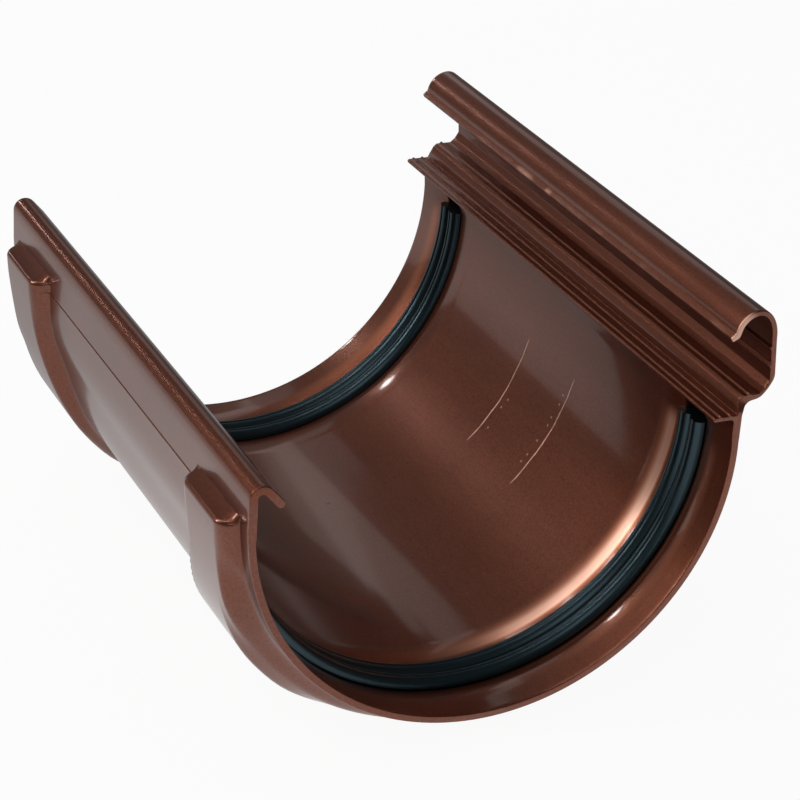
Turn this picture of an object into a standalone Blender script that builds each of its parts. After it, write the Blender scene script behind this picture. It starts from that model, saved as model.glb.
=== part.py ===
"""Gutter union: one moulded trough body and two ribbed rubber seals.

The gutter runs along Y, the open side is up (+Z) and the hooked clip is on +X.
The origin is on the axis of the round rims, half way along the body.
Every size is in metres and every angle in degrees.
"""

import math

import bmesh
import bpy
from mathutils import Vector
from mathutils.geometry import tessellate_polygon

# overall
HALF_LENGTH = 0.0898
RIM_RADIUS = 0.0626
RIM_WALL = 0.0019

# groove, counted in from each end, and the seal that lies in it
RIM_LENGTH = 0.0136
GROOVE_WIDTH = 0.0110
GROOVE_DEPTH = 0.0044
GROOVE_DRAFT = 0.0003
SEAL_CLEARANCE = 0.0003
SEAL_PROUD = 0.0019
SEAL_RIB_DEPTH = 0.0011
SEAL_EDGE_DROP = 0.0005

# trough between the seats
INNER_LAND = 0.0092
CHANNEL_STEP = 0.0007
CHANNEL_STEP_RUN = 0.0005
CHANNEL_WALL = 0.0026
CREASE_DEPTH = 0.0040
CREASE_STEP = 0.0004
CREASE_FADE = 16.0

# raised seats that house the seals, counted in from each end
SEAT_END = 0.0052
SEAT_LENGTH = 0.0281
SEAT_HEIGHT = 0.0048
SEAT_LEFT_TOP = -0.0013
SEAT_RIGHT_TOP = 0.0034
SEAT_ROUND = 0.0058

# swell low on both flanks, angles counted down from the rims
SWELL_HEIGHT = 0.0031
SWELL_START = 24.0
SWELL_FULL = 36.0
SWELL_FADE = 46.0
SWELL_END = 72.0
SWELL_RISE = 0.0165
SWELL_LEAD = 0.0015
SWELL_TAPER = 0.0081

# rolled lip on the plain side
LIP_WALL = 0.0022
LIP_TOP = 0.0103
LIP_ROUND = 0.0032
LIP_NOSE = 0.0046
LIP_SLOPE = 49.0

# clip on the other side
CLIP_WALL = 0.0014
CLIP_END_GAP = 0.0012
CLIP_OUTER_X = 0.0734
CLIP_BACK_X = 0.0725
CLIP_CREST_X = 0.0670
CLIP_CREST_Z = 0.0365
CLIP_NOSE_X = 0.0607
CLIP_NOSE_Z = 0.0300
CLIP_BACK_Z = 0.0285
CLIP_KNEE_Z = 0.0177
CLIP_FLOOR_X = 0.0697
CLIP_FLOOR_Z = 0.0127
CLIP_FOOT = 0.0013
CLIP_RIBS = (0.0033, 0.0083)
FLOOR_RIB = 0.0042

# ledge under the mouth of the clip
LEDGE_REACH = 0.0059
LEDGE_TOP_Z = 0.0096
LEDGE_WALL = 0.0012
LEDGE_RIBS = (0.0017, 0.0047)
RIB_HEIGHT = 0.0006

# end caps are filled in millimetres, which keeps short edges apart
CAP_SCALE = 1000.0

# even spacing of the round parts
ROUND_STEPS = 30
SEAL_STEPS = 36
SMOOTH_ANGLE = 28.0

WALL_X = RIM_RADIUS + RIM_WALL
INNER_X = WALL_X - LIP_WALL
CHANNEL_RADIUS = RIM_RADIUS + CHANNEL_STEP
CHANNEL_OUTER = CHANNEL_RADIUS + CHANNEL_WALL
GROOVE_RADIUS = RIM_RADIUS + GROOVE_DEPTH
SEAT_RADIUS = WALL_X + SEAT_HEIGHT
SEAT_WALL = SEAT_RADIUS - GROOVE_RADIUS
GROOVE_LEFT_TOP = SEAT_LEFT_TOP - SEAT_WALL
GROOVE_RIGHT_TOP = SEAT_RIGHT_TOP - SEAT_WALL
GROOVE_OUTER_Y = HALF_LENGTH - RIM_LENGTH
GROOVE_INNER_Y = GROOVE_OUTER_Y - GROOVE_WIDTH
CHANNEL_END = GROOVE_INNER_Y - INNER_LAND
SEAT_OUTER_Y = HALF_LENGTH - SEAT_END
SEAT_INNER_Y = SEAT_OUTER_Y - SEAT_LENGTH
SWELL_RISE_Y = SEAT_INNER_Y - SWELL_RISE
SWELL_SEAT_Y = SEAT_INNER_Y + SWELL_LEAD
SWELL_TAPER_Y = SEAT_OUTER_Y - SWELL_TAPER


def arc(cx, cz, rx, rz, start, end, steps):
    """Points of an ellipse arc from one angle to another."""
    points = []
    for i in range(steps + 1):
        a = math.radians(start + (end - start) * i / steps)
        points.append((cx + rx * math.cos(a), cz + rz * math.sin(a)))
    return points


def ramp(value, knots):
    """Straight-line value between (position, level) knots."""
    if value <= knots[0][0]:
        return knots[0][1]
    for (p0, v0), (p1, v1) in zip(knots, knots[1:]):
        if value <= p1:
            return v0 + (v1 - v0) * (value - p0) / (p1 - p0)
    return knots[-1][1]


def inner_knots():
    """Inner radius of the trough against the distance from mid length."""
    half = GROOVE_DRAFT / 2
    return [
        (CHANNEL_END - CHANNEL_STEP_RUN, CHANNEL_RADIUS),
        (CHANNEL_END + CHANNEL_STEP_RUN, RIM_RADIUS),
        (GROOVE_INNER_Y - half, RIM_RADIUS),
        (GROOVE_INNER_Y + half, GROOVE_RADIUS),
        (GROOVE_OUTER_Y - half, GROOVE_RADIUS),
        (GROOVE_OUTER_Y + half, RIM_RADIUS),
        (HALF_LENGTH, RIM_RADIUS),
    ]


def seat_knots():
    """How far the seat stands out, 0 to 1, with rounded shoulders."""
    shoulder = [(0.0, 0.0), (0.2, 0.5), (0.5, 0.82), (1.0, 1.0)]
    rise = [(SEAT_INNER_Y + t * SEAT_ROUND, v) for t, v in shoulder]
    fall = [(SEAT_OUTER_Y - t * SEAT_ROUND, v) for t, v in reversed(shoulder)]
    return rise + fall


def swell_knots():
    """Outer radius at the fullest part of the swell against the same distance."""
    return [
        (SWELL_RISE_Y, CHANNEL_OUTER + SWELL_HEIGHT),
        (SWELL_SEAT_Y, SEAT_RADIUS + SWELL_HEIGHT),
        (SWELL_TAPER_Y, SEAT_RADIUS + SWELL_HEIGHT),
        (SEAT_OUTER_Y, WALL_X),
    ]


def stations():
    """All the section positions along Y, one end to the other."""
    knots = inner_knots() + seat_knots() + swell_knots()
    half = sorted({position for position, value in knots})
    return [-y for y in reversed(half)] + half


def outer_radius(angle, y):
    """Outer radius of the trough at an angle below the left horizontal."""
    side = min(angle, 180.0 - angle)
    crease = math.degrees(math.asin(CREASE_DEPTH / WALL_X))
    base = WALL_X
    if abs(y) <= SEAT_INNER_Y + SEAT_ROUND:
        base = ramp(side, [(crease, WALL_X + CREASE_STEP), (CREASE_FADE, CHANNEL_OUTER)])
        if side < crease:
            base = WALL_X / math.cos(math.radians(side))
    plain = base + (SEAT_RADIUS - base) * ramp(abs(y), seat_knots())
    fade = [(SWELL_START, 0.0), (SWELL_FULL, 1.0), (SWELL_FADE, 1.0), (SWELL_END, 0.0)]
    return plain + (ramp(abs(y), swell_knots()) - plain) * ramp(side, fade)


def polar(angle, radius):
    """Section point at an angle below the left horizontal."""
    a = math.radians(angle)
    return (-radius * math.cos(a), -radius * math.sin(a))


def below(depth, radius):
    """Angle in degrees at which a circle is this far below the axis."""
    return math.degrees(math.asin(depth / radius))


def groove_angles():
    """Angles where the groove starts and ends."""
    start = below(-GROOVE_LEFT_TOP, GROOVE_RADIUS)
    end = 180.0 - below(-GROOVE_RIGHT_TOP, GROOVE_RADIUS)
    return start, end


def trough_inner(y):
    """Inside of the trough, from the left wall round to the right wall."""
    start, end = groove_angles()
    radius = ramp(abs(y), inner_knots())
    points = []
    for i in range(ROUND_STEPS + 1):
        points.append(polar(start + (end - start) * i / ROUND_STEPS, radius))
    return points


def trough_outer(y):
    """Outside of the trough, from the right wall round to the left wall."""
    crease = below(CREASE_DEPTH, WALL_X)
    left = below(-SEAT_LEFT_TOP, SEAT_RADIUS)
    right = 180.0 - below(-SEAT_RIGHT_TOP, SEAT_RADIUS)
    side = [crease - 0.2, crease + 0.2, 9.0, CREASE_FADE]
    for low, high, steps in ((SWELL_START, SWELL_FULL, 3), (SWELL_FULL, SWELL_FADE, 2),
                             (SWELL_FADE, SWELL_END, 4), (SWELL_END, 90.0, 2)):
        side += [low + (high - low) * i / steps for i in range(steps)]
    angles = [left] + side + [90.0] + [180.0 - a for a in reversed(side)] + [right]
    return [polar(a, outer_radius(a, y)) for a in reversed(angles)]


def lip():
    """Rolled lip, up the outside of the left wall and back down its inside."""
    cx = -WALL_X + LIP_ROUND
    cz = LIP_TOP - LIP_ROUND
    normal = 90.0 - LIP_SLOPE
    n = math.radians(normal)
    mid = LIP_ROUND - LIP_WALL / 2
    tip_x = cx + mid * math.cos(n) + LIP_NOSE * math.sin(n)
    tip_z = cz + mid * math.sin(n) - LIP_NOSE * math.cos(n)
    half = LIP_WALL / 2
    points = arc(cx, cz, LIP_ROUND, LIP_ROUND, 180.0, normal, 6)
    points += arc(tip_x, tip_z, half, half, normal, normal - 180.0, 5)
    inside = LIP_ROUND - LIP_WALL
    points += arc(cx, cz, inside, inside, normal, 180.0, 4)
    return points


def rib(x, z, out_x, out_z):
    """Fine raised line on a wall, pointing along (out_x, out_z)."""
    h = RIB_HEIGHT
    return [
        (x + out_z * h, z - out_x * h),
        (x + out_x * h, z + out_z * h),
        (x - out_z * h, z + out_x * h),
    ]


def ledge():
    """Underside of the ledge, its edge and its top with two raised lines."""
    low = LEDGE_TOP_Z - LEDGE_WALL
    tip = INNER_X - LEDGE_REACH
    points = [(INNER_X, low - LEDGE_WALL), (INNER_X - LEDGE_WALL, low)]
    points += arc(tip + LEDGE_WALL / 2, LEDGE_TOP_Z - LEDGE_WALL / 2,
                  LEDGE_WALL / 2, LEDGE_WALL / 2, 270.0, 90.0, 4)
    for distance in LEDGE_RIBS:
        points += rib(tip + distance, LEDGE_TOP_Z, 0.0, 1.0)[::-1]
    return points


def clip_wall_x(z):
    """Outside of the clip's leaning wall at one height."""
    return ramp(z, [(CLIP_KNEE_Z, CLIP_OUTER_X), (CLIP_BACK_Z, CLIP_BACK_X)])


def clip_inside():
    """Inside of the clip from the ledge over the floor and up to the nose."""
    wall_x = CLIP_OUTER_X - CLIP_WALL
    back_x = CLIP_BACK_X - CLIP_WALL
    floor_z = CLIP_FLOOR_Z + CLIP_WALL
    bend = INNER_X + 0.0007
    points = [(bend, LEDGE_TOP_Z), (bend + 0.0003, LEDGE_TOP_Z + 0.0018)]
    points += [(bend + 0.0010, floor_z - 0.0008), (bend + 0.0020, floor_z - 0.0002)]
    points += rib(INNER_X + FLOOR_RIB, floor_z, 0.0, 1.0)[::-1]
    points += [(CLIP_FLOOR_X - 0.0002, floor_z), (wall_x - 0.0011, floor_z + 0.0008)]
    points += [(wall_x, CLIP_KNEE_Z - 0.0006)]
    for height in CLIP_RIBS:
        z = CLIP_KNEE_Z + height
        points += rib(clip_wall_x(z) - CLIP_WALL, z, -1.0, 0.0)[::-1]
    points += arc(CLIP_CREST_X, CLIP_BACK_Z, back_x - CLIP_CREST_X,
                  CLIP_CREST_Z - CLIP_WALL - CLIP_BACK_Z, 0.0, 90.0, 6)
    points += arc(CLIP_CREST_X, CLIP_NOSE_Z, CLIP_CREST_X - CLIP_NOSE_X - CLIP_WALL,
                  CLIP_CREST_Z - CLIP_WALL - CLIP_NOSE_Z, 90.0, 172.0, 6)[1:]
    return points


def clip_outside():
    """Nose of the clip, over its crest and down to the right wall."""
    foot = CLIP_FOOT
    points = [(CLIP_NOSE_X + CLIP_WALL * 0.8, CLIP_NOSE_Z)]
    points += [(CLIP_NOSE_X - foot * 0.5, CLIP_NOSE_Z - foot * 0.5)]
    points += [(CLIP_NOSE_X - foot, CLIP_NOSE_Z)]
    points += arc(CLIP_CREST_X, CLIP_NOSE_Z, CLIP_CREST_X - CLIP_NOSE_X,
                  CLIP_CREST_Z - CLIP_NOSE_Z, 167.0, 90.0, 6)
    points += arc(CLIP_CREST_X, CLIP_BACK_Z, CLIP_BACK_X - CLIP_CREST_X,
                  CLIP_CREST_Z - CLIP_BACK_Z, 90.0, 0.0, 7)[1:]
    points += [(CLIP_OUTER_X, CLIP_KNEE_Z), (CLIP_OUTER_X - 0.0018, CLIP_KNEE_Z - 0.0026)]
    points += [(CLIP_FLOOR_X, CLIP_FLOOR_Z), (WALL_X + 0.0020, CLIP_FLOOR_Z - 0.0004)]
    points += [(WALL_X + 0.0008, CLIP_FLOOR_Z - 0.0014), (WALL_X, CLIP_FLOOR_Z - 0.0032)]
    return points


def section(y):
    """Closed outline of the body across Y at one position."""
    gap = GROOVE_DRAFT
    points = [(-WALL_X, SEAT_LEFT_TOP + gap)]
    points += lip()
    points += [(-INNER_X, GROOVE_LEFT_TOP + gap)]
    points += trough_inner(y)
    points += [(INNER_X, GROOVE_RIGHT_TOP + gap)]
    points += ledge()
    points += clip_inside()
    points += clip_outside()
    points += [(WALL_X, SEAT_RIGHT_TOP + gap)]
    points += trough_outer(y)
    return points


def ring_at(y):
    """Section in space, with the clip ending a little short of the rims."""
    rise = [(LEDGE_TOP_Z, 0.0), (CLIP_FLOOR_Z, CLIP_END_GAP)]
    ring = []
    for x, z in section(y):
        short = ramp(z, rise) if x > 0.0 and abs(y) == HALF_LENGTH else 0.0
        ring.append((x, y - math.copysign(short, y), z))
    return ring


def seal_profile(side):
    """Seal section as (y, radius) points for the end on one side."""
    edge = GROOVE_DRAFT / 2 + SEAL_CLEARANCE
    y0 = GROOVE_INNER_Y + edge
    width = GROOVE_OUTER_Y - edge - y0
    base = GROOVE_RADIUS - SEAL_CLEARANCE
    crest = RIM_RADIUS - SEAL_PROUD
    valley = crest + SEAL_RIB_DEPTH
    edge_r = crest + SEAL_EDGE_DROP
    shape = [(0.0, base), (0.0, RIM_RADIUS), (0.05, edge_r), (0.18, crest)]
    shape += [(0.34, valley), (0.5, crest), (0.66, valley)]
    shape += [(0.82, crest), (0.95, edge_r), (1.0, RIM_RADIUS), (1.0, base)]
    return [(side * (y0 + t * width), r) for t, r in shape]


def close_mesh(name, rings):
    """Closed mesh through rings of points that all have the same count."""
    bm = bmesh.new()
    rows = [[bm.verts.new(p) for p in ring] for ring in rings]
    count = len(rings[0])
    for low, high in zip(rows, rows[1:]):
        for i in range(count):
            j = (i + 1) % count
            bm.faces.new((low[i], low[j], high[j], high[i]))
    for row in (rows[0], rows[-1]):
        outline = [Vector(v.co) * CAP_SCALE for v in row]
        for a, b, c in tessellate_polygon([outline]):
            bm.faces.new((row[a], row[b], row[c]))
    bmesh.ops.triangulate(bm, faces=bm.faces[:])
    bmesh.ops.recalc_face_normals(bm, faces=bm.faces[:])
    mesh = bpy.data.meshes.new(name)
    bm.to_mesh(mesh)
    bm.free()
    mesh.polygons.foreach_set("use_smooth", [True] * len(mesh.polygons))
    mesh.set_sharp_from_angle(angle=math.radians(SMOOTH_ANGLE))
    obj = bpy.data.objects.new(name, mesh)
    bpy.context.scene.collection.objects.link(obj)
    return obj


def principled(name, colour, roughness, coat):
    """Plain Principled material."""
    material = bpy.data.materials.new(name)
    material.use_nodes = True
    shader = material.node_tree.nodes["Principled BSDF"]
    shader.inputs["Base Color"].default_value = (*colour, 1.0)
    shader.inputs["Roughness"].default_value = roughness
    shader.inputs["Coat Weight"].default_value = coat
    material.diffuse_color = (*colour, 1.0)
    return material


def union_body():
    """Whole moulding: trough, lip, clip, ledge and both seats."""
    obj = close_mesh("union_body", [ring_at(y) for y in stations()])
    obj.data.materials.append(principled("brown_moulding", (0.085, 0.030, 0.018), 0.25, 0.2))
    return obj


def seal(name, side):
    """Ribbed rubber strip lying in one groove."""
    start, end = groove_angles()
    gap = math.degrees(SEAL_CLEARANCE / GROOVE_RADIUS)
    profile = seal_profile(side)
    rings = []
    for i in range(SEAL_STEPS + 1):
        a = start + gap + (end - start - 2 * gap) * i / SEAL_STEPS
        ring = []
        for y, r in profile:
            x, z = polar(a, r)
            ring.append((x, y, z))
        rings.append(ring)
    obj = close_mesh(name, rings)
    obj.data.materials.append(principled(name + "_rubber", (0.012, 0.020, 0.020), 0.45, 0.0))
    return obj


def build():
    """Clear the scene and make the three pieces."""
    for obj in list(bpy.data.objects):
        bpy.data.objects.remove(obj, do_unlink=True)
    union_body()
    seal("seal_near", -1.0)
    seal("seal_far", 1.0)


build()
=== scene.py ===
"""Looks of the gutter union: its moulding, its insertion marks and its two ribbed seals.

Shapes are worked out in millimetres, along Y from end to end, and made metres when a mesh is built.
Angles round the section are in degrees below the left horizontal.
"""

import bmesh
import bpy
import numpy as np
from mathutils import Matrix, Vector
from mathutils.geometry import tessellate_polygon

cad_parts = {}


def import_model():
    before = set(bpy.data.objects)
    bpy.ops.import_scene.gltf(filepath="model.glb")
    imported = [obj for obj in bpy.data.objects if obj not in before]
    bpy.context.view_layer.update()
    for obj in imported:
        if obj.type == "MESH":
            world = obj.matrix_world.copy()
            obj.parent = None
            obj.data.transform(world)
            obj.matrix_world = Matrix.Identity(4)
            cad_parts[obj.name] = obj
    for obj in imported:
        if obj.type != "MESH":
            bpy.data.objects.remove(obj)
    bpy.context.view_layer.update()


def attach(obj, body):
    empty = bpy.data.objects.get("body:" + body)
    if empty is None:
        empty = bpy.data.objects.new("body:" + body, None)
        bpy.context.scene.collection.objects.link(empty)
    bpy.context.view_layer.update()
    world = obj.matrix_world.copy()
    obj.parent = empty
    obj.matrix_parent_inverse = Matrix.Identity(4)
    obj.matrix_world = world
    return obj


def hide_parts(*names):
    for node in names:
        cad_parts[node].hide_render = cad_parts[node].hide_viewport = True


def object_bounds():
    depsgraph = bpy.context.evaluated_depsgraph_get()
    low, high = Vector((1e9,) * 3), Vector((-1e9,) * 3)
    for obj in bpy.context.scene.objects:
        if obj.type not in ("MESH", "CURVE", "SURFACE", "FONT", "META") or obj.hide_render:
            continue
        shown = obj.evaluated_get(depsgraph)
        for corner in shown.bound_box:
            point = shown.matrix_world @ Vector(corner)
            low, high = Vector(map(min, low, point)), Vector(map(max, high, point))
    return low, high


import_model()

MM = 0.001

# the moulding's sizes; the outermost stay just inside the solids
HALF_LENGTH = 89.8
RIM_RADIUS = 62.6
WALL_X = 64.5
LIP_WALL = 2.2
INNER_X = WALL_X - LIP_WALL
CHANNEL_RADIUS = 62.65
CHANNEL_OUTER = 65.9

# the crease along the flanks, where the round of the trough steps out from the flat wall
CREASE_ANGLE = 3.6
CREASE_STEP = 0.35
CREASE_FADE = 17.0
CREASE_SHARP = 0.1
CREASE_ANGLES = CREASE_ANGLE + np.array([-0.5, -CREASE_SHARP, 0.0, CREASE_SHARP, 0.5])
RIGHT_ANGLES = [0.0, 1.6]

# the raised seats, their widening down the flank and their taper toward the end
SEAT_INNER = 56.5
SEAT_OUTER = 84.6
SEAT_RADIUS = 69.25
SEAT_LEFT_TOP = -1.3
SEAT_RIGHT_TOP = 3.4
SEAT_ROUND = 5.0
SEAT_EDGE = 1.3
SEAT_WALL = 2.3
SEAT_FLARE = 12.0
SEAT_TAPER = 8.1
FLARE_RISE = (9.0, 40.0)
FLARE_FALL = (52.0, 85.0)
FLARE_EASE = (7.0, 16.0)

# the low swell on both flanks: radii, and the angles over which it comes and goes
SWELL_MID = 69.0
SWELL_SEAT = 72.4
SWELL_RISE = (18.0, 38.0)
SWELL_FACE_RISE = (7.0, 38.0)
SWELL_FALL = (45.0, 72.0)

# groove and the lands beside it
GROOVE_INNER = 66.2
GROOVE_OUTER = 75.2
GROOVE_RADIUS = 67.0
GROOVE_DROP = 0.15
GROOVE_LIP = 0.1
BEVEL_WIDTH = 0.5
BEVEL_TILT = 25.0
ROLL_WIDTH = 8.5
ROLL_TILT = 10.0
RIM_ROLL = 1.6
LAND_STEP = (55.4, 57.2)

# seal: its fit in the groove, its lap over the lands, and its ribs
SEAL_GAP = 0.12
SEAL_END_GAP = 0.2
SEAL_OVER = 0.75
SEAL_NECK = 63.45
SEAL_EDGE = 2.4
SEAL_SHOULDER = 2.2
SEAL_CREST = 60.7
SEAL_VALLEY = 1.9
SEAL_DIP = 0.4
SEAL_DIP_WIDTH = 0.03

# rolled lip
LIP_TOP = 10.3
LIP_ROUND = 3.2
LIP_NOSE = 4.6
LIP_SLOPE = 49.0
LIP_FOOT = 3.5

# heights of points on the left wall's outside and inside and on the right wall's outside
LEFT_WALL_OUT = 0.2
LEFT_WALL_IN = -3.4
RIGHT_WALL = (6.5, 3.8)

# ledge under the clip
LEDGE_REACH = 5.9
LEDGE_TOP = 9.6
LEDGE_WALL = 1.2
LEDGE_ROOT = 4.0
LEDGE_RIBS = (1.9, 4.7)
LEDGE_RIB_SIZE = 0.5

# clip, with its drawn profile as points (x, z)
CLIP_WALL = 1.4
CLIP_END_GAP = 1.2
CLIP_END_TOP = 12.7
CLIP_FLOOR = 14.1
CLIP_RISE = [(63.0, LEDGE_TOP), (63.3, 11.4), (64.0, 13.3), (65.0, CLIP_FLOOR)]
CLIP_TURN = [(69.5, CLIP_FLOOR), (70.9, 15.3), (72.0, 17.1)]
CLIP_RIB_X = 66.5
CLIP_RIB_HEIGHTS = (21.0, 26.0)
CLIP_NOSE = [(61.75, 29.9), (60.0, 29.0), (59.45, 30.0)]
CLIP_BACK_TOP = (72.5, 28.5)
CLIP_BACK_LOW = (73.4, 17.7)
CLIP_FOOT = [(71.8, 14.9), (69.8, 12.7), (66.6, 12.2), (65.2, 11.2), (64.5, 9.3)]
CLIP_FOOT_CUTS = [1.2, 1.3, 1.3, 0.9, 0.7]
CLIP_NOSE_CUT = 0.35
CLIP_INSIDE_CUT = 0.22
RIB_SIZE = 0.6

# dome of the clip: its middle, then height, width and rise of its back and nose quarters
DOME_X = 67.0
DOME_BACK = (28.5, 5.5, 8.0)
DOME_NOSE = (30.0, 6.3, 6.5)
DOME_NOSE_END = 170.0

# cut edges are rounded this much; points nearer than MERGE metres become one
EDGE_ROUND = 0.28
EDGE_TURN = (22.0, 45.0, 68.0, 90.0)
MERGE = 0.000002
MOULDING_SHARP = 35.0
SEAL_SHARP = 40.0

# stations from mid length to one cut end, as (first, last, count), close where the profile bends
STATIONS = (
    (0.0, 39.0, 5),
    (40.0, 55.2, 24),
    (55.6, GROOVE_INNER - 0.7, 22),
    (GROOVE_INNER - 0.5, GROOVE_INNER - 0.25, 3),
    (GROOVE_INNER - GROOVE_DROP, GROOVE_INNER + GROOVE_LIP, 6),
    (GROOVE_INNER + 0.8, GROOVE_OUTER - 0.8, 7),
    (GROOVE_OUTER - GROOVE_LIP, GROOVE_OUTER + GROOVE_DROP, 6),
    (GROOVE_OUTER + 0.25, GROOVE_OUTER + 0.5, 3),
    (GROOVE_OUTER + 0.7, SEAT_OUTER, 20),
    (SEAT_OUTER + 0.6, HALF_LENGTH - EDGE_ROUND, 5),
)

# points round the section of the trough and along the seals
INSIDE_STEPS = 105
FLANK_START = 6.5
FLANK_STEPS = 40
SEAL_STEPS = 161
RIB_STEPS = 81

# the photograph's camera: place in millimetres, angles in degrees
CAMERA_PLACE = (-270.95, -584.63, 297.06)
CAMERA_AZIMUTH = 26.093
CAMERA_ELEVATION = 26.085
CAMERA_ROLL = -3.856
CAMERA_LENS = 121.45
CAMERA_SENSOR = 36.0
CAMERA_NEAREST = 0.01

# level of the world on matt surfaces and in reflections
WORLD_SOFT = 0.26
WORLD_MIRRORED = 0.1

# table: half its side and its place under the object, in metres
FLOOR_SIZE = 3.0
FLOOR_GAP = 0.0001

# its white, how bright the camera sees it and reflections do, near and far, and the spans of y and
# x in millimetres over which it dims
FLOOR_WHITE = (0.9, 0.9, 0.9, 1.0)
FLOOR_SHOWN = 0.94
FLOOR_NEAR = 0.95
FLOOR_FAR = 0.2
FLOOR_BEHIND = (-60.0, 160.0)
FLOOR_ASIDE = (-120.0, 60.0)
FLOOR_ASIDE_SHARE = 0.55

# lamps: name, azimuth, elevation, distance, width and height in metres, and how bright it looks
LAMPS = (
    ("window_low", -60.0, 22.0, 1.2, 0.16, 0.16, 24.0),
    ("window_mid", -56.0, 36.0, 1.2, 0.16, 0.3, 12.0),
    ("window_high", -43.0, 51.0, 1.2, 0.2, 0.2, 9.0),
    ("window_top", -12.0, 60.0, 1.2, 0.3, 0.14, 6.0),
    ("spot_lamp", -16.0, 20.0, 1.5, 0.1, 0.1, 24.0),
    ("far_sky", 26.0, 32.0, 1.2, 0.45, 0.28, 0.48),
)

# the dim panel behind the object: place and target in metres, width, height and watts
BACK_PANEL = ((0.12, 0.4, 0.17), (0.12, 0.0, 0.17), 0.2, 0.09, 0.02)

# the soft lamp above and beside the camera, as in LAMPS, but with watts in the last place
FRONT_SOFT = (215.0, 45.0, 1.4, 0.8, 0.8, 2.6)

# marks in the channel as (place along Y, angle), and how wide their fading edges are
MARK_Y = 13.5
MARK_SPAN = (134.7, 165.1)
MARK_END = 1.0
MARK_EDGE = (0.1, 0.3)
PIP_EDGE = (0.15, 0.5)
PIPS = ((10.2, 149.2), (11.0, 146.6), (10.3, 140.4), (-11.3, 160.1), (-11.5, 157.6), (-10.9, 153.7),
        (-11.2, 151.5), (-10.9, 146.8), (-10.9, 142.5), (-10.7, 140.2))
SPECK = (20.9, 95.0)
SPECK_EDGE = (0.3, 0.9)
INSIDE_EDGE = (64.0, 64.3)

# where the clip's nose is worn, and where a painted highlight lies on the curl of its near cut end, as
# spans over which a mask comes and goes
NOSE_X = ((57.0, 58.0), (60.3, 61.2))
NOSE_Z = ((28.6, 29.2), (30.2, 31.2))
NICKS = ((23.0, (2.0, 6.0)), (9.0, (0.8, 2.2)))
PATCHES = (0.52, 0.68)
CURL_HIGHLIGHT_X = (62.5, 66.5)
CURL_HIGHLIGHT_Y = (87.9, 88.3)
CURL_HIGHLIGHT_Z = (27.0, 28.5)

# where the painted copper highlight shows: along Y, by the angle round the section, and below the rim
HIGHLIGHT_CREST_Y = ((54.5, 60.8), (62.4, 64.4))
HIGHLIGHT_CREST_TURN = (64.0, 122.0)
RIM_HIGHLIGHT_BANDS = (((78.4, 81.0), (81.2, 84.5)), ((76.2, 76.9), (77.0, 77.9)))
RIM_HIGHLIGHT_Y = (74.0, 76.0)
RIM_HIGHLIGHT_TURN = (85.0, 130.0)
HIGHLIGHT_DEPTH = (0.5, 6.0)

# where the lip rolls over, which takes some of the coat away
ROLLED_Z = (4.0, 8.0)
ROLLED_X = (-60.0, -57.0)

# the moulding's colours
BROWN_DARK = (0.108, 0.0255, 0.0105, 1.0)
BROWN_LIGHT = (0.228, 0.062, 0.028, 1.0)
# painted highlight colours of the copper crest and rim bands
HIGHLIGHT_COPPER_DEEP = (0.62, 0.215, 0.11, 1.0)
HIGHLIGHT_COPPER_PALE = (0.98, 0.56, 0.41, 1.0)
SPECK_BROWN = (0.03, 0.012, 0.008, 1.0)
# pale of the marks and wear, also used for the painted highlight on the nose's near cut end
PALE_MARKS_WEAR_AND_HIGHLIGHT = (0.82, 0.46, 0.33, 1.0)
MOULDING_BUMP = 0.00003

# the seals' colours and shine
RUBBER_DARK = (0.0012, 0.0042, 0.005, 1.0)
RUBBER_BLOOM = (0.004, 0.009, 0.010, 1.0)
RUBBER_TINT = (0.55, 0.85, 1.0, 1.0)
RUBBER_SHINE = 0.8
BLOOM = (0.5, 0.75)
RUBBER_BUMP = 0.00004


def ease(t):
    """3t^2 - 2t^3."""
    return t * t * (3.0 - 2.0 * t)


def smooth(x, low, high):
    """0 below low, 1 above high, and 3t^2 - 2t^3 between, t being the share of the way."""
    return ease(np.clip((x - low) / (high - low), 0.0, 1.0))


def quarter(t):
    """Quarter circle sqrt(1 - (1 - t)^2), steep at 0 and level at 1."""
    return np.sqrt(1.0 - (1.0 - t) ** 2)


def arc(cx, cz, rx, rz, start, end, steps):
    """Points (cx + rx cos a, cz + rz sin a), a going evenly from start to end degrees."""
    a = np.radians(np.linspace(start, end, steps + 1))
    return np.stack([cx + rx * np.cos(a), cz + rz * np.sin(a)], axis=-1)


def eased(points, cut, steps=4):
    """Open outline with each inner corner P made a curve (1-t)^2 A + 2t(1-t) P + t^2 B, where
    A and B lie on the two sides of the corner, cut away from it."""
    points = np.asarray(points, float)
    corner = points[1:-1]
    cut = np.broadcast_to(np.asarray(cut, float), (len(corner),))[:, None]
    back = points[:-2] - corner
    on = points[2:] - corner
    a = corner + back / np.linalg.norm(back, axis=1, keepdims=True) * cut
    b = corner + on / np.linalg.norm(on, axis=1, keepdims=True) * cut
    t = np.linspace(0.0, 1.0, steps + 1)[None, :, None]
    curve = (1 - t) ** 2 * a[:, None] + 2 * t * (1 - t) * corner[:, None] + t * t * b[:, None]
    return np.concatenate([points[:1], curve.reshape(-1, 2), points[-1:]])


def land_fall(s):
    """How far a land drops toward the groove, against the distance s from its edge: the sum of
    tan(tilt), which is BEVEL_TILT beside the groove, then ROLL_TILT fading evenly to nothing."""
    grid = np.linspace(0.0, BEVEL_WIDTH + ROLL_WIDTH, 801)
    fade = np.clip(1.0 - (grid - BEVEL_WIDTH) / ROLL_WIDTH, 0.0, 1.0)
    tilt = np.where(grid < BEVEL_WIDTH, BEVEL_TILT, ROLL_TILT * fade)
    slope = np.tan(np.radians(tilt))
    fall = np.cumsum(slope[::-1])[::-1] * (grid[1] - grid[0])
    return np.interp(s, grid, fall)


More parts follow.
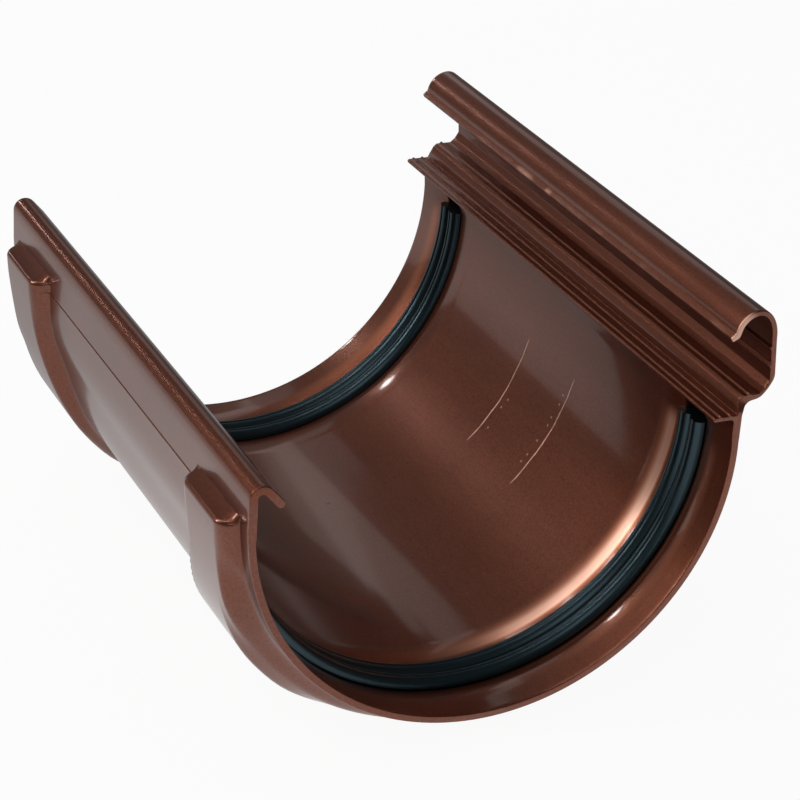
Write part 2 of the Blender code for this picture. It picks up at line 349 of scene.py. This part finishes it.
def inner_radius(y):
    """Inner radius along Y: channel, land, groove, land, each joined by an eased step. The outer
    land falls RIM_ROLL times as far as the inner one."""
    d = np.abs(y)
    step = (CHANNEL_RADIUS - RIM_RADIUS) * (1.0 - smooth(d, *LAND_STEP))
    middle = d < (GROOVE_INNER + GROOVE_OUTER) / 2
    gap = np.where(middle, GROOVE_INNER - d, d - GROOVE_OUTER)
    land = RIM_RADIUS + step + land_fall(np.maximum(gap, 0.0)) * np.where(middle, 1.0, RIM_ROLL)
    into = smooth(d, GROOVE_INNER - GROOVE_DROP, GROOVE_INNER + GROOVE_LIP)
    out = 1.0 - smooth(d, GROOVE_OUTER - GROOVE_LIP, GROOVE_OUTER + GROOVE_DROP)
    return land + (GROOVE_RADIUS - land) * into * out


def seat_way(y, inner_edge):
    """How far y is into a seat from its nearer edge, as a share of SEAT_ROUND from 0 to 1."""
    d = np.abs(y)
    return np.clip(np.minimum(d - inner_edge, SEAT_OUTER - d) / SEAT_ROUND, 0.0, 1.0)


def seat_share(y):
    """How far a seat stands out, 0 to 1: a quarter ellipse sqrt(1 - (1 - t)^2) at both ends."""
    return quarter(seat_way(y, SEAT_INNER))


def flared_share(side, y):
    """seat_share with its inner edge moved in by up to SEAT_FLARE lower down the flank, and its
    rise changed there to 3t^2 - 2t^3."""
    flare = smooth(side, *FLARE_RISE) * (1.0 - smooth(side, *FLARE_FALL))
    t = seat_way(y, SEAT_INNER - SEAT_FLARE * flare)
    steep = quarter(t)
    return steep + (ease(t) - steep) * smooth(side, *FLARE_EASE)


def outer_radius(side, y):
    """Outer radius at angle side below the rim: wall + (face - wall) flared_share. As far as the
    seats' middle the wall goes from a flat at WALL_X to CHANNEL_OUTER, and a share that rises over
    SWELL_RISE and falls over SWELL_FALL raises it to SWELL_MID. Beyond, it is WALL_X. The face goes
    from SEAT_RADIUS to SWELL_SEAT in the same way, over SWELL_FACE_RISE. Beyond the middle, the
    height above WALL_X is scaled by 1 + (t - 1) share, t falling from 1 to 0 over the last
    SEAT_TAPER of the seat."""
    middle = np.abs(y) < (SEAT_INNER + SEAT_OUTER) / 2
    flat = WALL_X / np.cos(np.radians(np.minimum(side, CREASE_FADE)))
    start = WALL_X + CREASE_STEP
    wall = start + (CHANNEL_OUTER - start) * smooth(side, CREASE_ANGLE, CREASE_FADE)
    past = smooth(side, CREASE_ANGLE - CREASE_SHARP, CREASE_ANGLE + CREASE_SHARP)
    base = np.where(middle, flat + (wall - flat) * past, WALL_X)
    fall = 1.0 - smooth(side, *SWELL_FALL)
    share = smooth(side, *SWELL_RISE) * fall
    wall = base + (np.where(middle, SWELL_MID, WALL_X) - base) * share
    face = SEAT_RADIUS + (SWELL_SEAT - SEAT_RADIUS) * smooth(side, *SWELL_FACE_RISE) * fall
    radius = wall + (face - wall) * flared_share(side, y)
    t = np.clip((SEAT_OUTER - np.abs(y)) / SEAT_TAPER, 0.0, 1.0)
    return np.where(middle, radius, WALL_X + (radius - WALL_X) * (1.0 + (t - 1.0) * share))


def polar(angle, radius):
    """Section points (-r cos a, -r sin a)."""
    a = np.radians(angle)
    return np.stack([-radius * np.cos(a), -radius * np.sin(a)], axis=-1)


def below(depth, radius):
    """Angle at which a circle of that radius is that far below its axis."""
    return np.degrees(np.arcsin(depth / radius))


def inside_ends():
    """Angles at which the trough's inside meets the left wall and the right wall."""
    left = below(SEAT_WALL - SEAT_LEFT_TOP, GROOVE_RADIUS)
    right = below(SEAT_WALL - SEAT_RIGHT_TOP, GROOVE_RADIUS)
    return left, 180.0 - right


def trough_inside(y):
    """Inside from the left wall round to the right wall: inner_radius(y) at even angles."""
    start, end = inside_ends()
    angle = np.linspace(start, end, INSIDE_STEPS)[None, :]
    return polar(angle, inner_radius(y)[:, None] + 0.0 * angle)


def ledge_edge(y, top, side):
    """Top of a seat: level at that height, then a quarter round, each as wide as the seat is
    proud of the wall at y. side is -1 on the left and 1 on the right."""
    proud = (SEAT_RADIUS - WALL_X) * seat_share(y)[:, None]
    r = np.minimum(SEAT_EDGE, proud)
    a = np.radians(np.linspace(90.0, 0.0, 6))[None, :]
    x = WALL_X + proud - r + r * np.cos(a)
    z = top - r + r * np.sin(a)
    return np.stack([side * x, z], axis=-1)


def trough_outside(y):
    """Outside from the right wall under the trough to the left wall, seat edges included:
    outer_radius at angles that are close together at the crease."""
    left = below(SEAT_EDGE - SEAT_LEFT_TOP, SEAT_RADIUS)
    right = below(SEAT_EDGE - SEAT_RIGHT_TOP, SEAT_RADIUS)
    flank = np.linspace(FLANK_START, 90.0, FLANK_STEPS)
    one = np.concatenate([[left], CREASE_ANGLES, flank])
    two = np.concatenate([[right], RIGHT_ANGLES, CREASE_ANGLES, flank[:-1]])
    angle = np.concatenate([180.0 - two, one[::-1]])[None, :]
    radius = outer_radius(np.minimum(angle, 180.0 - angle), y[:, None])
    round_part = polar(angle, radius)
    right_edge = ledge_edge(y, SEAT_RIGHT_TOP, 1.0)
    left_edge = ledge_edge(y, SEAT_LEFT_TOP, -1.0)[:, ::-1]
    return np.concatenate([right_edge, round_part, left_edge], axis=1)


def lip():
    """Rolled lip: up the outside, over an arc of radius LIP_ROUND, round the nose and back."""
    cx = -WALL_X + LIP_ROUND
    cz = LIP_TOP - LIP_ROUND
    normal = 90.0 - LIP_SLOPE
    n = np.radians(normal)
    half = LIP_WALL / 2
    mid = LIP_ROUND - half
    tip_x = cx + mid * np.cos(n) + LIP_NOSE * np.sin(n)
    tip_z = cz + mid * np.sin(n) - LIP_NOSE * np.cos(n)
    inside = LIP_ROUND - LIP_WALL
    return np.concatenate([
        arc(cx, cz, LIP_ROUND, LIP_ROUND, 180.0, normal, 14),
        arc(tip_x, tip_z, half, half, normal, normal - 180.0, 12),
        arc(cx, cz, inside, inside, normal, 180.0, 8),
    ])


def rib(x, z, out_x, out_z, size=RIB_SIZE):
    """Fine raised line on a wall, pointing along (out_x, out_z): three points, the first and last
    that far to each side and the middle one that far out."""
    return [
        (x - out_z * size, z + out_x * size),
        (x + out_x * size, z + out_z * size),
        (x + out_z * size, z - out_x * size),
    ]


def ledge():
    """Underside of the ledge, its rounded edge and its top with two raised lines."""
    low = LEDGE_TOP - LEDGE_WALL
    half = LEDGE_WALL / 2
    tip = INNER_X - LEDGE_REACH
    under = eased([(INNER_X, low - LEDGE_ROOT), (INNER_X, low), (tip + half, low)], LEDGE_WALL)
    edge = arc(tip + half, LEDGE_TOP - half, half, half, 270.0, 90.0, 8)
    top = [(tip + half, LEDGE_TOP)]
    for place in LEDGE_RIBS:
        top += rib(tip + place, LEDGE_TOP, 0.0, 1.0, LEDGE_RIB_SIZE)
    return under, edge, top


def clip_wall_x(z):
    """Outside of the clip's leaning wall at one height, straight between its two ends."""
    return np.interp(z, [CLIP_BACK_LOW[1], CLIP_BACK_TOP[1]], [CLIP_BACK_LOW[0], CLIP_BACK_TOP[0]])


def clip_inside():
    """Inside of the clip: up from the ledge, over the floor and up the wall, with raised lines."""
    points = CLIP_RISE + rib(CLIP_RIB_X, CLIP_FLOOR, 0.0, 1.0) + CLIP_TURN
    for height in CLIP_RIB_HEIGHTS:
        points = points + rib(clip_wall_x(height) - CLIP_WALL, height, -1.0, 0.0)
    return points


def dome(wall):
    """Two quarter ellipses over the clip, from its back wall to its nose, drawn in by a wall."""
    z, width, rise = DOME_BACK
    back = arc(DOME_X, z, width - wall, rise - wall, 0.0, 90.0, 16)
    z, width, rise = DOME_NOSE
    nose = arc(DOME_X, z, width - wall, rise - wall, 90.0, DOME_NOSE_END, 16)
    return back, nose


def clip():
    """Whole clip from the top of its inner wall to the right wall, rounded at every corner."""
    back_in, nose_in = dome(CLIP_WALL)
    back_out, nose_out = dome(0.0)
    nose = eased([nose_in[-1], *CLIP_NOSE, nose_out[-1]], CLIP_NOSE_CUT, 5)
    outer = eased([CLIP_BACK_TOP, CLIP_BACK_LOW, *CLIP_FOOT], CLIP_FOOT_CUTS, 5)
    return [back_in, nose_in[1:-1], nose, nose_out[::-1][1:], back_out[::-1][1:-1], outer]


def section(y):
    """Closed outlines of the body at stations y, as [station, point, x or z]: the left wall's
    outside, the lip, the trough's inside, the ledge, the clip, the right wall and the outside."""
    under, edge, top = ledge()
    inner = eased(np.concatenate([top, clip_inside()]), CLIP_INSIDE_CUT, 3)
    outer_wall = [(-WALL_X, LEFT_WALL_OUT), (-WALL_X, LIP_FOOT)]
    inner_wall = [(-INNER_X, LIP_FOOT), (-INNER_X, LEFT_WALL_IN)]
    right_wall = [(WALL_X, z) for z in RIGHT_WALL]

    def along(parts):
        """The same outlines at every station."""
        return [np.broadcast_to(np.asarray(part, float), (len(y), len(part), 2)) for part in parts]

    left = along([outer_wall, lip(), inner_wall])
    right = along([under, edge[1:-1], inner, *clip(), right_wall])
    return np.concatenate([*left, trough_inside(y), *right, trough_outside(y)], axis=1)


def inset(outline, amount):
    """Closed outlines moved in along their normals by an amount for each station. The normal at a
    point is square to the line between its two neighbours."""
    run = np.roll(outline, -1, axis=1) - np.roll(outline, 1, axis=1)
    run /= np.maximum(np.linalg.norm(run, axis=2, keepdims=True), 1e-6)
    normal = np.stack([-run[..., 1], run[..., 0]], axis=-1)
    return outline - normal * amount[:, None, None]


def stations():
    """Places along Y: the STATIONS, a quarter turn round the cut edge, and the same mirrored."""
    half = [np.linspace(first, last, count) for first, last, count in STATIONS]
    turn = HALF_LENGTH - EDGE_ROUND + EDGE_ROUND * np.sin(np.radians(EDGE_TURN))
    half = np.concatenate([*half, turn])
    return np.concatenate([-half[:0:-1], half])


def loft(name, rings):
    """Closed mesh through rings[station, point, xyz]: quads between rings, a filled cap at both
    ends."""
    m, n, _ = rings.shape
    index = np.arange(m * n).reshape(m, n)
    right = np.roll(index, -1, axis=1)
    quads = np.stack([index[:-1], index[1:], right[1:], right[:-1]], axis=-1).reshape(-1, 4)
    cap = np.array(tessellate_polygon([[tuple(p) for p in rings[0]]]))
    faces = quads.tolist() + cap.tolist() + (cap[:, ::-1] + (m - 1) * n).tolist()
    mesh = bpy.data.meshes.new(name)
    mesh.from_pydata((rings.reshape(-1, 3) * MM).tolist(), [], faces)
    mesh.validate()
    obj = bpy.data.objects.new(name, mesh)
    bpy.context.scene.collection.objects.link(obj)
    return obj


def face_out(obj, sharp_degrees):
    """Merges doubled points, turns all faces outwards and shades smooth up to an angle."""
    bm = bmesh.new()
    bm.from_mesh(obj.data)
    bmesh.ops.remove_doubles(bm, verts=bm.verts, dist=MERGE)
    bmesh.ops.recalc_face_normals(bm, faces=bm.faces)
    bm.to_mesh(obj.data)
    bm.free()
    obj.data.polygons.foreach_set("use_smooth", np.ones(len(obj.data.polygons), bool))
    obj.data.set_sharp_from_angle(angle=np.radians(sharp_degrees))


def moulding():
    """Body: section(y) lofted along Y, its cut ends rounded by an inset r - sqrt(r^2 - t^2). Near
    both ends the clip, above the ledge on the right, is drawn back by CLIP_END_GAP."""
    y = stations()
    outline = section(y)
    t = np.clip(np.abs(y) - (HALF_LENGTH - EDGE_ROUND), 0.0, EDGE_ROUND)
    outline = inset(outline, EDGE_ROUND - np.sqrt(EDGE_ROUND**2 - t**2))
    x, z = outline[..., 0], outline[..., 1]
    high = np.where(x > 0.0, smooth(z, LEDGE_TOP, CLIP_END_TOP), 0.0)
    end = smooth(np.abs(y), SEAT_OUTER, HALF_LENGTH - EDGE_ROUND)[:, None]
    along = y[:, None] - np.sign(y)[:, None] * CLIP_END_GAP * high * end
    obj = loft("moulding", np.stack([x, along, z], axis=-1))
    face_out(obj, MOULDING_SHARP)
    return obj


def seal(name, side):
    """Rubber strip carried round the groove, its top lapping over the lands. The top is two round
    ribs: crest + valley (1 - w) + dips, w being |sin 2 pi t|^0.5 in the middle half and 1 beside
    it, each dip exp(-((t - p) / SEAL_DIP_WIDTH)^2) with p a quarter or three quarters, and a
    quarter round at both edges."""
    y0 = GROOVE_INNER + SEAL_GAP
    width = GROOVE_OUTER - GROOVE_INNER - 2 * SEAL_GAP
    y1 = y0 + width
    t = np.linspace(0.0, 1.0, RIB_STEPS)
    wave = np.where(np.abs(t - 0.5) < 0.25, np.abs(np.sin(2 * np.pi * t)) ** 0.5, 1.0)
    dips = sum(np.exp(-(((t - p) / SEAL_DIP_WIDTH) ** 2)) for p in (0.25, 0.75))
    lapped = width + 2 * SEAL_OVER
    edge = np.clip(np.minimum(t, 1.0 - t) * lapped / SEAL_SHOULDER, 0.0, 1.0)
    round_off = SEAL_EDGE * (1.0 - quarter(edge))
    top = SEAL_CREST + SEAL_VALLEY * (1.0 - wave) + SEAL_DIP * dips + round_off
    base = GROOVE_RADIUS - SEAL_GAP
    along = np.concatenate([[y0, y0], y0 - SEAL_OVER + t * lapped, [y1, y1]]) * side
    radius = np.concatenate([[base, SEAL_NECK], top, [SEAL_NECK, base]])
    start, end = inside_ends()
    angle = np.linspace(start + SEAL_END_GAP, end - SEAL_END_GAP, SEAL_STEPS)[:, None]
    xz = polar(angle, radius[None, :] + 0.0 * angle)
    rings = np.stack([xz[..., 0], np.broadcast_to(along, xz.shape[:2]), xz[..., 1]], axis=-1)
    obj = loft(name, rings)
    face_out(obj, SEAL_SHARP)
    return obj


def direction(azimuth, elevation):
    """Unit vector (sin az cos el, cos az cos el, sin el), azimuth going from +Y toward +X."""
    az, el = np.radians([azimuth, elevation])
    return np.array([np.sin(az) * np.cos(el), np.cos(az) * np.cos(el), np.sin(el)])


def standing(right, up, back, place):
    """Matrix whose columns are an object's own three directions and its place in metres."""
    rows = Matrix.Identity(4)
    for i, column in enumerate((right, up, back, place)):
        for j in range(3):
            rows[j][i] = column[j]
    return rows


def camera():
    """Camera at the photograph's place and angle, its right and down turned by the roll r to
    cos r right + sin r down and cos r down - sin r right."""
    az, roll = np.radians([CAMERA_AZIMUTH, CAMERA_ROLL])
    forward = direction(CAMERA_AZIMUTH, -CAMERA_ELEVATION)
    right = np.array([np.cos(az), -np.sin(az), 0.0])
    down = np.cross(forward, right)
    turned = np.cos(roll) * right + np.sin(roll) * down
    lowered = -np.sin(roll) * right + np.cos(roll) * down
    data = bpy.data.cameras.new("camera")
    data.lens = CAMERA_LENS
    data.sensor_width = CAMERA_SENSOR
    data.clip_start = CAMERA_NEAREST
    obj = bpy.data.objects.new("camera", data)
    obj.matrix_world = standing(turned, -lowered, -forward, [place * MM for place in CAMERA_PLACE])
    bpy.context.scene.collection.objects.link(obj)
    bpy.context.scene.camera = obj


class Tree:
    """Shader tree of a material or of the world."""

    def __init__(self, owner):
        owner.use_nodes = True
        self.tree = owner.node_tree
        self.owner = owner

    def add(self, kind, settings=None, inputs=None, output=0):
        """New node with settings and socket values or links; gives one of its outputs."""
        node = self.tree.nodes.new(kind)
        for key, value in (settings or {}).items():
            setattr(node, key, value)
        for key, value in (inputs or {}).items():
            self.join(value, node.inputs[key])
        return Value(self, node.outputs[output])

    def join(self, value, socket):
        """Links a value into a socket, or sets the socket to a plain number or colour."""
        if isinstance(value, Value):
            self.tree.links.new(value.socket, socket)
        else:
            socket.default_value = value

    def shader(self, **inputs):
        """Fills the Principled shader; an underscore in a name stands for a space."""
        node = self.tree.nodes["Principled BSDF"]
        for key, value in inputs.items():
            self.join(value, node.inputs[key.replace("_", " ")])
        return Value(self, node.outputs[0])

    def blend(self, share, low, high):
        """Colour between low and high."""
        return self.add("ShaderNodeMix", {"data_type": "RGBA"}, {0: share, 6: low, 7: high}, 2)

    def rise(self, value, low, high):
        """0 at low, 1 at high, smooth between."""
        ends = {"Value": value, "From Min": low, "From Max": high}
        return self.add("ShaderNodeMapRange", {"interpolation_type": "SMOOTHSTEP"}, ends)

    def fall(self, value, low, high):
        """1 at low, 0 at high, smooth between."""
        return 1.0 - self.rise(value, low, high)

    def band(self, value, up, down):
        """0 to 1 over the span up, and back to 0 over the span down."""
        return self.rise(value, *up) * self.fall(value, *down)

    def noise(self, place, scale, detail=2.0):
        """Noise from 0 to 1."""
        return self.add("ShaderNodeTexNoise", {}, {"Vector": place, "Scale": scale, "Detail": detail})

    def place(self):
        """Object position in millimetres."""
        at = self.add("ShaderNodeTexCoord", output="Object")
        return self.add("ShaderNodeVectorMath", {"operation": "SCALE"}, {"Vector": at, "Scale": 1.0 / MM})

    def ray(self, kind):
        """1 for rays of that kind, such as Is Camera Ray."""
        return self.add("ShaderNodeLightPath", output=kind)

    def bump(self, height, distance):
        """Normal bent by a height from 0 to 1 that stands for a distance in metres."""
        return self.add("ShaderNodeBump", {}, {"Height": height, "Distance": distance})


class Value:
    """One output socket; arithmetic on it adds a Math node and gives that node's output."""

    def __init__(self, tree, socket):
        self.tree = tree
        self.socket = socket

    def maths(self, operation, first, second=0.0):
        """Math node of that operation on one or two values."""
        return self.tree.add("ShaderNodeMath", {"operation": operation}, {0: first, 1: second})

    def split(self):
        """x, y and z of a vector."""
        node = self.tree.add("ShaderNodeSeparateXYZ", {}, {0: self}).socket.node
        return [Value(self.tree, socket) for socket in node.outputs]

    def __neg__(self):
        return self.maths("MULTIPLY", self, -1.0)

    def __add__(self, other):
        return self.maths("ADD", self, other)

    def __radd__(self, other):
        return self.maths("ADD", other, self)

    def __sub__(self, other):
        return self.maths("SUBTRACT", self, other)

    def __rsub__(self, other):
        return self.maths("SUBTRACT", other, self)

    def __mul__(self, other):
        return self.maths("MULTIPLY", self, other)

    def __rmul__(self, other):
        return self.maths("MULTIPLY", other, self)

    def __abs__(self):
        return self.maths("ABSOLUTE", self)

    def most(self, other):
        """The larger of two values."""
        return self.maths("MAXIMUM", self, other)

    def root(self):
        """Square root."""
        return self.maths("SQRT", self)


def spot(tree, along, turn, centre, edge):
    """1 inside a small round spot on the channel, fading over the span edge in millimetres."""
    y, angle = centre
    across = (turn - angle) * float(np.radians(CHANNEL_RADIUS))
    up = along - y
    return tree.fall((up * up + across * across).root(), *edge)


def insertion_marks(tree, mm, y, turn):
    """Two thin wavering lines round the channel, at MARK_Y on both sides of the middle and over
    the angles MARK_SPAN, and the fainter pips beside them."""
    wobble = (tree.noise(mm, 0.25) - 0.5) * 0.8
    line = tree.fall(abs(abs(y) - MARK_Y + wobble), *MARK_EDGE)
    first, last = MARK_SPAN
    ends = tree.band(turn, (first - MARK_END, first + MARK_END), (last - MARK_END, last + MARK_END))
    mark = line * ends * (0.45 + 0.9 * tree.noise(mm, 0.6))
    for pip in PIPS:
        mark = mark.most(spot(tree, y, turn, pip, PIP_EDGE) * 0.6)
    return mark


def nose_wear_and_highlight(tree, mm, fine, x, y, z):
    """Rub in patches along the clip's nose, stronger at two nicks, and a painted highlight on the
    curl of the nose's near cut end."""
    nose = tree.band(x, *NOSE_X) * tree.band(z, *NOSE_Z)
    patches = tree.rise(tree.noise(mm, 0.11, 1.0), *PATCHES)
    first, second = (tree.fall(abs(y - place), *edge) for place, edge in NICKS)
    rub = nose * (0.03 + 0.1 * patches + 0.45 * first.most(second)) * (0.6 + 0.7 * fine)
    # painted highlight on the curl of the nose's near cut end
    curl = tree.rise(-y, *CURL_HIGHLIGHT_Y) * tree.fall(x, *CURL_HIGHLIGHT_X) * tree.rise(z, *CURL_HIGHLIGHT_Z)
    return rub.most(curl * tree.rise(x, *NOSE_X[0]))


def copper_highlight(tree, y, z, turn):
    """Share of painted copper highlight and how pale it is: a painted highlight band on the near land's
    crest, growing toward the clip's side, and two narrower, weaker painted highlight bands on both rims."""
    # painted highlight bands along the near land's crest and the rims
    crest = tree.band(-y, *HIGHLIGHT_CREST_Y)
    crest = crest * (0.4 + 0.6 * crest) * tree.rise(turn, *HIGHLIGHT_CREST_TURN)
    out = abs(y)
    wide, narrow = (0.3 * tree.band(out, up, down) for up, down in RIM_HIGHLIGHT_BANDS)
    rims = (0.06 + wide.most(narrow)) * tree.rise(out, *RIM_HIGHLIGHT_Y) * tree.rise(turn, *RIM_HIGHLIGHT_TURN)
    return crest.most(rims) * tree.rise(-z, *HIGHLIGHT_DEPTH), crest * crest * crest


def brown_lacquer():
    """Brown plastic with copper flakes under a clear coat: two browns mixed by fine, broad and
    streaked noise, then the painted copper highlight on the near land and rims, the speck, and the pale
    wear and marks, with a painted highlight on the nose's near cut end."""
    tree = Tree(bpy.data.materials.new("brown_lacquer"))
    mm = tree.place()
    x, y, z = mm.split()
    fine = tree.noise(mm, 1.6, 3.0)
    broad = tree.noise(mm, 0.045, 3.0)
    streak_place = tree.add("ShaderNodeVectorMath", {"operation": "MULTIPLY"},
                            {0: mm, 1: (0.9, 0.05, 0.9)})
    streak = tree.noise(streak_place, 1.0)
    inside = tree.fall((x * x + z * z).root(), *INSIDE_EDGE)
    turn = x.maths("ARCTAN2", -z, -x) * float(np.degrees(1.0))
    mark = insertion_marks(tree, mm, y, turn) * inside
    speck = spot(tree, y, turn, SPECK, SPECK_EDGE) * inside
    # pale marks and wear, with the painted highlight on the nose's near cut end
    pale = (mark * 0.8).most(nose_wear_and_highlight(tree, mm, fine, x, y, z))
    copper, highlight_paleness = copper_highlight(tree, y, z, turn)

    tone = 1.4 * fine + 0.4 * broad + 0.25 * streak - 0.5
    brown = tree.blend(tone, BROWN_DARK, BROWN_LIGHT)
    # painted copper highlight blended over the brown
    brown = tree.blend(copper * inside, brown, tree.blend(highlight_paleness, HIGHLIGHT_COPPER_DEEP, HIGHLIGHT_COPPER_PALE))
    brown = tree.blend(speck, brown, SPECK_BROWN)
    height = fine * 0.35 + broad * 1.4 + mark * 1.2
    rolled = tree.rise(z, *ROLLED_Z) * tree.fall(x, *ROLLED_X)
    tree.shader(
        Base_Color=tree.blend(pale, brown, PALE_MARKS_WEAR_AND_HIGHLIGHT),
        Roughness=0.28 + 0.09 * fine + 0.05 * streak,
        Metallic=0.8 - 0.4 * pale,
        Coat_Weight=0.65 - 0.4 * pale - 0.3 * rolled,
        Coat_Roughness=0.1,
        Normal=tree.bump(height, MOULDING_BUMP),
    )
    return tree.owner


def seal_rubber(name):
    """Green-black rubber with a faint bloom where broad and fine noise together are high."""
    tree = Tree(bpy.data.materials.new(name))
    mm = tree.place()
    fine = tree.noise(mm, 2.2, 3.0)
    broad = tree.noise(mm, 0.12, 2.0)
    bloom = tree.rise(broad * 0.7 + fine * 0.3, *BLOOM)
    tree.shader(
        Base_Color=tree.blend(bloom, RUBBER_DARK, RUBBER_BLOOM),
        Roughness=0.22 + 0.14 * fine + 0.06 * broad,
        Specular_IOR_Level=RUBBER_SHINE,
        Specular_Tint=RUBBER_TINT,
        Normal=tree.bump(fine, RUBBER_BUMP),
    )
    return tree.owner


def panel(name, place, target, size_x, size_y, power):
    """Soft rectangular lamp at a place, aimed at a target, that the camera doesn't see."""
    data = bpy.data.lights.new(name, "AREA")
    data.shape = "RECTANGLE"
    data.size = size_x
    data.size_y = size_y
    data.energy = power
    obj = bpy.data.objects.new(name, data)
    place = np.array(place)
    away = place - np.array(target)
    away = away / np.linalg.norm(away)
    side = np.cross((0.0, 0.0, 1.0), away)
    side = side / np.linalg.norm(side)
    obj.matrix_world = standing(side, np.cross(away, side), away, place)
    obj.visible_camera = False
    bpy.context.scene.collection.objects.link(obj)


def aimed(name, azimuth, elevation, distance, size_x, size_y, power):
    """Panel in a direction from the object, at a distance in metres."""
    panel(name, direction(azimuth, elevation) * distance, (0.0, 0.0, 0.0), size_x, size_y, power)


def lamp(name, azimuth, elevation, distance, size_x, size_y, radiance):
    """Panel given by how bright it looks: its power is radiance times pi times its area."""
    power = radiance * np.pi * size_x * size_y
    aimed(name, azimuth, elevation, distance, size_x, size_y, power)


def world():
    """Even grey surroundings, dimmer in reflections, that the camera sees as white."""
    scene_world = bpy.data.worlds.new("studio")
    bpy.context.scene.world = scene_world
    tree = Tree(scene_world)
    seen = tree.ray("Is Camera Ray")
    mirrored = tree.ray("Is Glossy Ray")
    level = WORLD_SOFT + mirrored * (WORLD_MIRRORED - WORLD_SOFT) + seen * (1.0 - WORLD_SOFT)
    shade = scene_world.node_tree.nodes["Background"]
    shade.inputs["Color"].default_value = (1.0, 1.0, 1.0, 1.0)
    tree.join(level, shade.inputs["Strength"])


def floor(height):
    """White table that the object rests on. The camera and reflections see it glow, less far
    behind the object; the rest is lit by the lamps, with the object's shadow."""
    mesh = bpy.data.meshes.new("table")
    s = FLOOR_SIZE
    corners = [(-s, -s, height), (s, -s, height), (s, s, height), (-s, s, height)]
    mesh.from_pydata(corners, [], [(0, 1, 2, 3)])
    obj = bpy.data.objects.new("table", mesh)
    bpy.context.scene.collection.objects.link(obj)
    material = bpy.data.materials.new("table_white")
    tree = Tree(material)
    plain = tree.shader(Base_Color=FLOOR_WHITE, Roughness=0.9)
    x, y, _ = tree.place().split()
    seen = tree.ray("Is Camera Ray")
    aside = (1.0 - FLOOR_ASIDE_SHARE) + FLOOR_ASIDE_SHARE * tree.rise(x, *FLOOR_ASIDE)
    front = FLOOR_NEAR + (FLOOR_FAR - FLOOR_NEAR) * (tree.rise(y, *FLOOR_BEHIND) * aside)
    glow = tree.add("ShaderNodeEmission", {}, {"Strength": seen + (1.0 - seen) * front})
    share = seen.most(tree.ray("Is Glossy Ray")).most(tree.ray("Is Transmission Ray")) * FLOOR_SHOWN
    mix = tree.add("ShaderNodeMixShader", {}, {0: share, 1: plain, 2: glow})
    tree.join(mix, tree.tree.nodes["Material Output"].inputs["Surface"])
    mesh.materials.append(material)


body = moulding()
near_seal = seal("near_seal", -1.0)
far_seal = seal("far_seal", 1.0)
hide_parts("union_body")
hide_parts("seal_near")
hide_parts("seal_far")
for piece in (body, near_seal, far_seal):
    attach(piece, "root")
body.data.materials.append(brown_lacquer())
near_seal.data.materials.append(seal_rubber("near_seal_rubber"))
far_seal.data.materials.append(seal_rubber("far_seal_rubber"))
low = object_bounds()[0]

camera()
world()
floor(low[2] - FLOOR_GAP)
for settings in LAMPS:
    lamp(*settings)
panel("back_panel", *BACK_PANEL)
aimed("front_soft", *FRONT_SOFT)
bpy.context.scene.view_settings.view_transform = "Standard"
